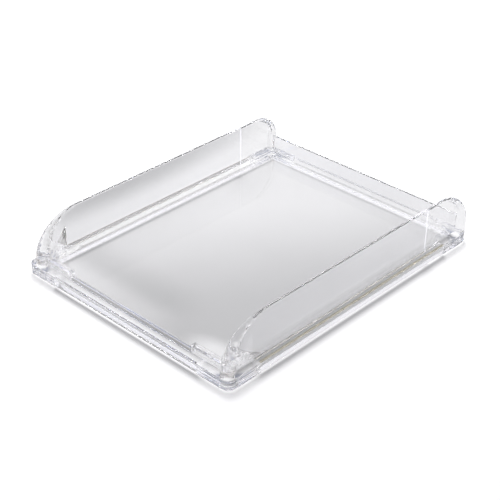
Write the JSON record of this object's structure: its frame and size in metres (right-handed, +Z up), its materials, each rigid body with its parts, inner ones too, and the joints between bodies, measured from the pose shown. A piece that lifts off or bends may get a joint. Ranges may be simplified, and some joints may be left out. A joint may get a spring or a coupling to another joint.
{
  "type": "letter tray",
  "caption": "Clear desktop letter tray with high side walls, a low rear wall, rounded front noses, a notched front lip and a base frame with ribbed corners.",
  "frame": {"origin": "middle of the footprint, on the surface that the feet stand on", "axes": "+X to the right seen from the open front, +Y to the rear wall, +Z up"},
  "size_m": [0.262, 0.332, 0.056],
  "materials": {
    "floor_sheet": "clear polished acrylic sheet",
    "wall_sheet": "clear polished acrylic sheet",
    "clear_moulding": "clear solid acrylic, polished",
    "ribbed_corner": "clear solid acrylic with moulded ribs",
    "base_rail": "clear solid acrylic, polished",
    "foot_pad": "clear soft non-slip pad"
  },
  "bodies": {
    "root": {"floor_panel": "floor_sheet", "left_side_wall": "wall_sheet", "right_side_wall": "wall_sheet", "rear_wall": "wall_sheet", "front_left_nose": "clear_moulding", "front_right_nose": "clear_moulding", "rear_left_ear": "clear_moulding", "rear_right_ear": "clear_moulding", "front_lip": "clear_moulding", "front_left_corner": "ribbed_corner", "front_right_corner": "ribbed_corner", "rear_left_corner": "ribbed_corner", "rear_right_corner": "ribbed_corner", "front_rail": "base_rail", "rear_rail": "base_rail", "left_side_rail": "base_rail", "right_side_rail": "base_rail", "front_left_foot": "foot_pad", "front_right_foot": "foot_pad", "rear_left_foot": "foot_pad", "rear_right_foot": "foot_pad"}
  },
  "joints": []
}
